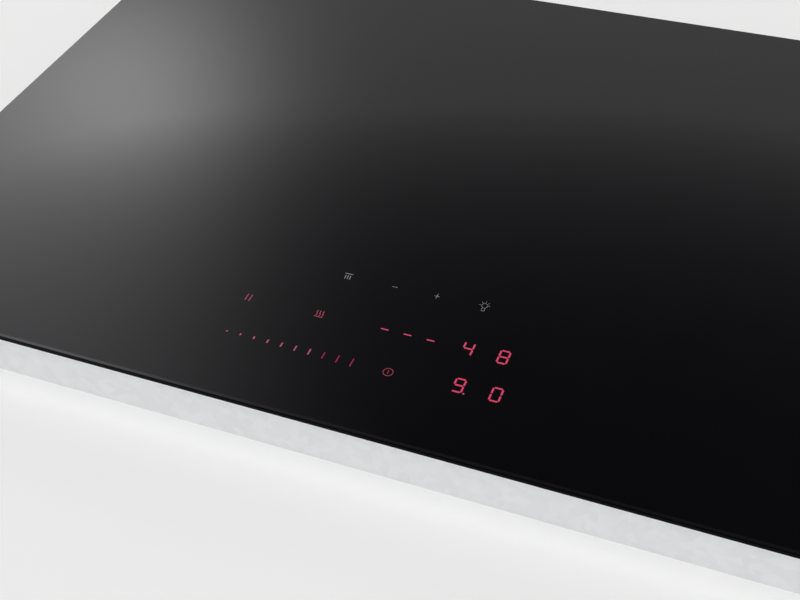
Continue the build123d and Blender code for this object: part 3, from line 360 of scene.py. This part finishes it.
def spangled(name, colour, roughness):
    """Zinc-coated sheet: pale crystals of slightly different tone and gloss."""
    material, nodes, links, shader = new_material(name, colour, roughness, spangle_metallic)
    place = stretched_place(nodes, links)
    wander = noise(nodes, links, place, spangle_scale * 2)
    offset = nodes.new("ShaderNodeVectorMath")
    offset.operation = "MULTIPLY_ADD"
    offset.inputs[1].default_value = (spangle_wander, spangle_wander, spangle_wander)
    links.new(wander, offset.inputs[0])
    links.new(place, offset.inputs[2])
    cells = nodes.new("ShaderNodeTexVoronoi")
    cells.inputs["Scale"].default_value = spangle_scale
    links.new(offset.outputs["Vector"], cells.inputs["Vector"])
    split = nodes.new("ShaderNodeSeparateColor")
    links.new(cells.outputs["Color"], split.inputs["Color"])
    crystal = split.outputs["Red"]
    tone = shades(nodes, links, crystal, colour, spangle_tones, wide_ramp)
    links.new(tone, shader.inputs["Base Color"])
    smooth, rough = (roughness + change for change in spangle_rough)
    links.new(between(nodes, links, split.outputs["Green"], smooth, rough), shader.inputs["Roughness"])
    bump(nodes, links, shader, crystal, spangle_depth)
    return material


def facing(nodes, links, rise, reach=0.2):
    """One where the surface's upward share is near this rise, and nought elsewhere."""
    surface = nodes.new("ShaderNodeNewGeometry")
    upward = apart(nodes, links, surface.outputs["True Normal"])[2]
    return calculate(nodes, links, "COMPARE", upward, rise, reach)


def black_glass(name, polished_from):
    """Black glass ceramic: glossy with the faintest haze, less so on its facet and matt on its edge."""
    material, nodes, links, shader = new_material(name, glass_colour, glass_roughness)
    shader.inputs["Specular Tint"].default_value = glass_gleam
    place = stretched_place(nodes, links)
    haze = noise(nodes, links, place, haze_scale, haze_detail)
    links.new(shades(nodes, links, haze, glass_colour, haze_tones), shader.inputs["Base Color"])
    links.new(between(nodes, links, haze, *haze_rough), shader.inputs["Roughness"])
    height = apart(nodes, links, place)[2]
    polished = calculate(nodes, links, "GREATER_THAN", height, polished_from)
    on_facet = facing(nodes, links, facet_rise)
    facet = calculate(nodes, links, "MULTIPLY_ADD", polished, -facet_gloss, on_facet)
    matt = calculate(nodes, links, "MAXIMUM", facing(nodes, links, edge_rise), facet)
    links.new(between(nodes, links, matt, *glass_gloss), shader.inputs["Specular IOR Level"])
    shader.inputs["IOR"].default_value = glass_ior
    return material


def wound(name, middle, colour):
    """Lacquered strands wound in rings about an upright axis, darker in the grooves between them: painted
    shade.
    """
    material, nodes, links, shader = new_material(name, colour, winding_roughness, winding_metallic)
    place = nodes.new("ShaderNodeTexCoord")
    shift = nodes.new("ShaderNodeVectorMath")
    shift.operation = "SUBTRACT"
    shift.inputs[1].default_value = (middle.x, middle.y, 0.0)
    flat = nodes.new("ShaderNodeVectorMath")
    flat.operation = "MULTIPLY"
    flat.inputs[1].default_value = flat_stretch
    reach = nodes.new("ShaderNodeVectorMath")
    reach.operation = "LENGTH"
    links.new(place.outputs["Object"], shift.inputs[0])
    links.new(shift.outputs["Vector"], flat.inputs[0])
    links.new(flat.outputs["Vector"], reach.inputs[0])
    turns = calculate(nodes, links, "MULTIPLY", reach.outputs["Value"], 1 / strand_pitch)
    strands = calculate(nodes, links, "PINGPONG", turns, half_strand)
    # The dark end of the ramp is painted shade in the grooves between strands.
    tone = shades(nodes, links, strands, colour, strand_and_groove_shade_tones, groove_shade_ramp)
    links.new(tone, shader.inputs["Base Color"])
    bump(nodes, links, shader, strands, strand_depth)
    return material


def board_face(name, colour):
    """A circuit board: solder mask with copper tracks showing through as slightly lighter lines."""
    material, nodes, links, shader = new_material(name, colour, board_roughness)
    place = stretched_place(nodes, links, flat_stretch)
    tracks = nodes.new("ShaderNodeTexBrick")
    tracks.inputs["Scale"].default_value = track_scale
    tracks.inputs["Mortar Size"].default_value = track_gap
    tracks.inputs["Color1"].default_value = (*colour, 1.0)
    tracks.inputs["Color2"].default_value = tint(colour, track_tone)
    tracks.inputs["Mortar"].default_value = tint(colour, gap_tone)
    links.new(place, tracks.inputs["Vector"])
    links.new(tracks.outputs["Color"], shader.inputs["Base Color"])
    bump(nodes, links, shader, tracks.outputs["Fac"], track_depth)
    return material


def glowing(name, colour, strength=1.0, ground=lamp_ground):
    """A lit mark: a faintly uneven glow. The LED marks are lamps; on the white print, which is no lamp, the
    glow is painted light.
    """
    material, nodes, links, shader = new_material(name, ground, lamp_roughness)
    place = stretched_place(nodes, links)
    cloud = noise(nodes, links, place, lamp_scale, lamp_detail)
    links.new(shades(nodes, links, cloud, colour, lamp_tones), shader.inputs["Emission Color"])
    shader.inputs["Emission Strength"].default_value = strength
    return material


lit_red = glowing("lit_red", (0.60, 0.053, 0.125))
lit_pink = glowing("lit_pink", (0.36, 0.068, 0.125))
dim_red = glowing("dim_red", (0.27, 0.009, 0.05))
icon_red = glowing("icon_red", (0.29, 0.045, 0.075))
# The white marks are print, not lamps: their glow is painted light standing in for the light the print
# catches.
white_print_painted_glow = glowing("white_print_painted_glow", (0.30, 0.30, 0.30), 0.85, print_ground)

glass_low, glass_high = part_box("glass_plate")
finishes = {
    "black_glass": black_glass("black_glass", glass_high.z - facet_polish * millimetre),
    "seal_foam": grained("seal_foam", (0.020, 0.020, 0.021), 0.85, 2600.0, 0.12, 0.0001),
    "silicone": grained("silicone", (0.06, 0.06, 0.062), 0.5),
    "steel_frame": brushed("steel_frame", (0.55, 0.56, 0.57), 0.35, (1.0, 12.0, 12.0)),
    "zinc_sheet": spangled("zinc_sheet", (0.77, 0.78, 0.79), 0.38),
    "steel_screw": brushed("steel_screw", (0.62, 0.62, 0.60), 0.30, (8.0, 8.0, 1.0)),
    "dark_plastic": grained("dark_plastic", (0.026, 0.026, 0.028), 0.48),
    "light_plastic": grained("light_plastic", (0.70, 0.69, 0.65), 0.42, spread=0.04),
    "circuit_board": board_face("circuit_board", (0.02, 0.13, 0.055)),
    "aluminium": brushed("aluminium", (0.78, 0.78, 0.79), 0.32, (1.0, 14.0, 14.0)),
    "black_component": grained("black_component", (0.018, 0.018, 0.019), 0.40),
    "film_component": grained("film_component", (0.05, 0.09, 0.25), 0.30, spread=0.05),
    "ferrite": grained("ferrite", (0.05, 0.05, 0.053), 0.55, 3000.0, 0.1, 0.00006),
    "lead_sleeve": grained("lead_sleeve", (0.30, 0.02, 0.015), 0.45),
    "mica": grained("mica", (0.50, 0.44, 0.34), 0.40, 700.0, 0.10),
    "display_face": grained("display_face", (0.03, 0.03, 0.033), 0.40),
    "touch_foam": grained("touch_foam", (0.05, 0.05, 0.05), 0.80, 2600.0, 0.12, 0.0001),
    "ribbon": brushed("ribbon", (0.45, 0.45, 0.46), 0.50, (30.0, 1.0, 1.0), 0.0),
    "brass": brushed("brass", (0.78, 0.57, 0.27), 0.30, (8.0, 8.0, 1.0)),
}


def dress(node, material):
    """Give a part of the frame its finish."""
    slots = frame["nodes"][node].data.materials
    slots.clear()
    slots.append(material)


for entry in frame["record"]["subparts"]:
    node, slot = entry["node"], entry["material_slot"]
    if slot == "copper_winding":
        low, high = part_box(node)
        dress(node, wound(node, (low + high) / 2, winding_colour))
    else:
        dress(node, finishes[slot])


# Control marks: thin raised prints on the glass
def place_of(across, back):
    """A place on the glass, from millimetres across and back from the front edge."""
    return Vector((across * millimetre, glass_low.y + back * millimetre, glass_high.z))


def raised(name, outlines, material):
    """One piece made of flat outlines, each raised from the glass; an outline is a list of places."""
    vertices, faces = [], []
    rise = Vector((0, 0, mark_thick * millimetre))
    for outline in outlines:
        start, count = len(vertices), len(outline)
        vertices += [place_of(*spot) for spot in outline]
        vertices += [place_of(*spot) + rise for spot in outline]
        lower = range(start, start + count)
        upper = range(start + count, start + 2 * count)
        faces += [tuple(reversed(lower)), tuple(upper)]
        for index in range(count):
            following = (index + 1) % count
            faces.append((lower[index], lower[following], upper[following], upper[index]))
    mesh = bpy.data.meshes.new(name)
    mesh.from_pydata(vertices, [], faces)
    mesh.materials.append(material)
    mesh.validate()
    piece = bpy.data.objects.new(name, mesh)
    bpy.context.scene.collection.objects.link(piece)
    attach(piece, housing)


def bar(middle, length, width, angle=90.0):
    """The outline of a straight bar at an angle from the row, counterclockwise."""
    along = Vector((cos(radians(angle)), sin(radians(angle)))) * length / 2
    across = Vector((-along.y, along.x)).normalized() * width / 2
    centre = Vector(middle)
    corners = (
        centre - along - across,
        centre + along - across,
        centre + along + across,
        centre - along + across,
    )
    return [tuple(corner) for corner in corners]


def band(spots, width):
    """The outline of a curved line of one width through these spots, counterclockwise."""
    points = [Vector(spot) for spot in spots]
    right, left = [], []
    for index, point in enumerate(points):
        ahead = points[min(index + 1, len(points) - 1)] - points[max(index - 1, 0)]
        sideways = Vector((-ahead.y, ahead.x)).normalized() * width / 2
        right.append(tuple(point - sideways))
        left.append(tuple(point + sideways))
    return right + left[::-1]


def disc(middle, radius, steps=24):
    """The outline of a round dot, counterclockwise."""
    angles = [2 * pi * step / steps for step in range(steps)]
    return [(middle[0] + radius * cos(angle), middle[1] + radius * sin(angle)) for angle in angles]


def ring_bands(middle, radius, width, start=0.0, turn=full_turn, parts=4, steps=12):
    """An arc of one width, in a few parts that meet end to end."""
    outlines = []
    for part in range(parts):
        spots = []
        for step in range(steps + 1):
            angle = radians(start + turn * (part + step / steps) / parts)
            spots.append((middle[0] + radius * cos(angle), middle[1] + radius * sin(angle)))
        outlines.append(band(spots, width))
    return outlines


def waves(across, row, pitch, length, width, swing=0.35, steps=14):
    """Three upright wavy lines side by side."""
    outlines = []
    for side in (-1, 0, 1):
        spots = []
        for step in range(steps + 1):
            share = step / steps
            sway = swing * sin(2 * pi * share)
            spots.append((across + side * pitch + sway, row + length * (share - 0.5)))
        outlines.append(band(spots, width))
    return outlines


def segment(start, end, stroke):
    """One segment of a digit: a bar with pointed ends between two corners of the digit."""
    start, end = Vector(start), Vector(end)
    along = (end - start).normalized()
    across = Vector((-along.y, along.x)) * stroke / 2
    start, end = start + along * digit_gap, end - along * digit_gap
    inner_start, inner_end = start + along * stroke / 2, end - along * stroke / 2
    corners = (start, inner_start - across, inner_end - across, end, inner_end + across, inner_start + across)
    return [tuple(corner) for corner in corners]


def digit(character, across, row, stroke=digit_stroke):
    """The lit segments of one digit."""
    left, right = across - digit_half_width, across + digit_half_width
    low, high = row - digit_half_height, row + digit_half_height
    ends = {
        "a": ((left, high), (right, high)),
        "b": ((right, row), (right, high)),
        "c": ((right, low), (right, row)),
        "d": ((left, low), (right, low)),
        "e": ((left, low), (left, row)),
        "f": ((left, row), (left, high)),
        "g": ((left, row), (right, row)),
    }
    return [segment(*ends[name], stroke) for name in segments_of[character]]


for name, (character, across, row) in digits.items():
    raised(name, digit(character, across, row), lit_red)
raised("digit_point", [disc(point_spot, point_radius)], lit_pink)
for index, across in enumerate(timer_places):
    raised(f"timer_dash_{index}", digit("-", across, timer_row, timer_stroke), lit_red)

for index in range(slider_count):
    share = index / (slider_count - 1)
    length = slider_shortest + share * (slider_longest - slider_shortest)
    lit = index < slider_lit
    spot = (slider_first + index * slider_pitch, slider_row)
    width = slider_lit_width if lit else slider_dim_width
    raised(f"slider_bar_{index}", [bar(spot, length, width)], lit_pink if lit else dim_red)

power = ring_bands(power_spot, power_radius, power_stroke) + [bar(power_spot, power_bar, power_stroke)]
raised("power_mark", power, icon_red)
pause = [bar((across, pause_row), pause_length, pause_stroke) for across in pause_places]
raised("pause_mark", pause, icon_red)
warming = waves(warming_across, warming_row, warming_pitch, warming_length, warming_stroke)
warming.append(bar((warming_across, warming_base_row), warming_base, warming_stroke, along_row))
raised("warming_mark", warming, icon_red)

# Hood, minus, plus and lamp marks: white print with a painted glow.
hood = waves(hood_across, hood_row, hood_pitch, hood_length, hood_stroke, hood_swing)
hood.append(bar(hood_top_spot, hood_top, hood_stroke, along_row))
raised("hood_mark", hood, white_print_painted_glow)
raised("minus_mark", [bar(minus_spot, minus_length, print_stroke, along_row)], white_print_painted_glow)
plus = [bar((plus_across, plus_row), plus_length, print_stroke, along_row)]
for side in (-1, 1):
    spot = (plus_across, plus_row + side * (plus_arm / 2 + print_stroke / 4))
    plus.append(bar(spot, plus_arm - print_stroke / 2, print_stroke))
raised("plus_mark", plus, white_print_painted_glow)

lamp = ring_bands((bulb_across, bulb_row), bulb_radius, bulb_stroke, bulb_start, bulb_turn)
for row in cap_rows:
    lamp.append(bar((bulb_across, bulb_row + row), cap_width, bulb_stroke, along_row))
for side in (-1, 1):
    spot = (bulb_across + side * cap_side, bulb_row + cap_side_row)
    lamp.append(bar(spot, cap_side_length, bulb_stroke))
for step in range(ray_count):
    angle = ray_pitch * step
    spot = (bulb_across + ray_across * cos(radians(angle)), bulb_row + ray_back * sin(radians(angle)))
    lamp.append(bar(spot, ray_length, bulb_stroke, angle))
raised("lamp_mark", lamp, white_print_painted_glow)


# Floor
floor_mesh = bpy.data.meshes.new("floor")
floor_sides = ((-1, -1), (1, -1), (1, 1), (-1, 1))
floor_corners = [(x * floor_reach, y * floor_reach, cad_low.z) for x, y in floor_sides]
floor_mesh.from_pydata(floor_corners, [], [(0, 1, 2, 3)])
floor = bpy.data.objects.new("floor", floor_mesh)
bpy.context.scene.collection.objects.link(floor)
floor_finish = (floor_roughness, floor_grain, floor_spread, 0.0, floor_specular)
floor_mesh.materials.append(grained("floor", floor_colour, *floor_finish))


# Surroundings
world = bpy.data.worlds.new("studio")
bpy.context.scene.world = world
world.use_nodes = True
nodes, links = world.node_tree.nodes, world.node_tree.links
background = nodes["Background"]


def sky(operation, *values):
    """A sum for the surroundings."""
    return calculate(nodes, links, operation, *values)


def smooth_rise(value, low, high):
    """Nought below low and one above high, with a smooth rise between."""
    rise = nodes.new("ShaderNodeMapRange")
    rise.interpolation_type = "SMOOTHSTEP"
    rise.inputs["From Min"].default_value = low
    rise.inputs["From Max"].default_value = high
    links.new(value, rise.inputs["Value"])
    return rise.outputs["Result"]


direction = nodes.new("ShaderNodeTexCoord").outputs["Generated"]
rightward, backward, upward = apart(nodes, links, direction)
height = sky("MULTIPLY", sky("ARCSINE", upward), half_turn / pi)
around = sky("ARCTAN2", sky("MULTIPLY", rightward, -1.0), backward)
leftward = sky("MULTIPLY", around, half_turn / pi)


def fall_above(start, reach):
    """One at this height, less above it and more below."""
    return sky("EXPONENT", sky("DIVIDE", sky("SUBTRACT", start, height), reach))


def glow_of(middle, width, reach, level):
    """A soft glow about one direction to the left of the back, fading upwards by its reach."""
    aside = sky("DIVIDE", sky("SUBTRACT", leftward, middle), width)
    bell = sky("EXPONENT", sky("MULTIPLY", sky("MULTIPLY", aside, aside), bell_power))
    patch = sky("MINIMUM", fall_above(fade_start, reach), glow_cap)
    patch = sky("MULTIPLY", patch, smooth_rise(height, glow_low, glow_full))
    return sky("MULTIPLY", sky("MULTIPLY", bell, patch), level)


fading = sky("MULTIPLY_ADD", fall_above(fade_start, fade_reach), fade_level, overhead)
lower = sky("MULTIPLY_ADD", smooth_rise(height, backdrop_end, wall_start), wall - backdrop, backdrop)
light = sky("MINIMUM", fading, lower)
for glow in glows:
    light = sky("ADD", light, glow_of(*glow))
links.new(light, background.inputs["Strength"])
background.inputs["Color"].default_value = white


def towards(left, up):
    """A direction, from degrees left of the back and degrees up."""
    left, up = radians(left), radians(up)
    return Vector((-sin(left) * cos(up), cos(left) * cos(up), sin(up)))


def soft_sun(name, left, up, strength, spread):
    """A wide, soft sun: degrees left of the back, degrees up, its level and how wide it is."""
    lamp = bpy.data.lights.new(name, "SUN")
    lamp.energy = strength
    lamp.angle = radians(spread)
    holder = bpy.data.objects.new(name, lamp)
    bpy.context.scene.collection.objects.link(holder)
    holder.rotation_mode = "QUATERNION"
    holder.rotation_quaternion = towards(left, up).to_track_quat("Z", "Y")


for sun in suns:
    soft_sun(*sun)

# Camera at the photograph's angle
camera = bpy.data.cameras.new("camera")
camera.sensor_width = sensor_width
camera.sensor_fit = "HORIZONTAL"
camera.lens = focal_pixels * sensor_width / picture_width
camera.shift_x, camera.shift_y = centre_shift
camera.clip_start = near_clip
viewer = bpy.data.objects.new("camera", camera)
bpy.context.scene.collection.objects.link(viewer)
left, roll = radians(camera_left), radians(camera_roll)
forward = towards(camera_left, -camera_down)
level = Vector((cos(left), sin(left), 0.0))
upright = level.cross(forward)
sideways = level * cos(roll) + upright * sin(roll)
topwards = upright * cos(roll) - level * sin(roll)
turned = Matrix((sideways, topwards, -forward)).transposed()
viewer.matrix_world = Matrix.Translation(camera_place) @ turned.to_4x4()
bpy.context.scene.camera = viewer
bpy.context.scene.view_settings.view_transform = "Standard"
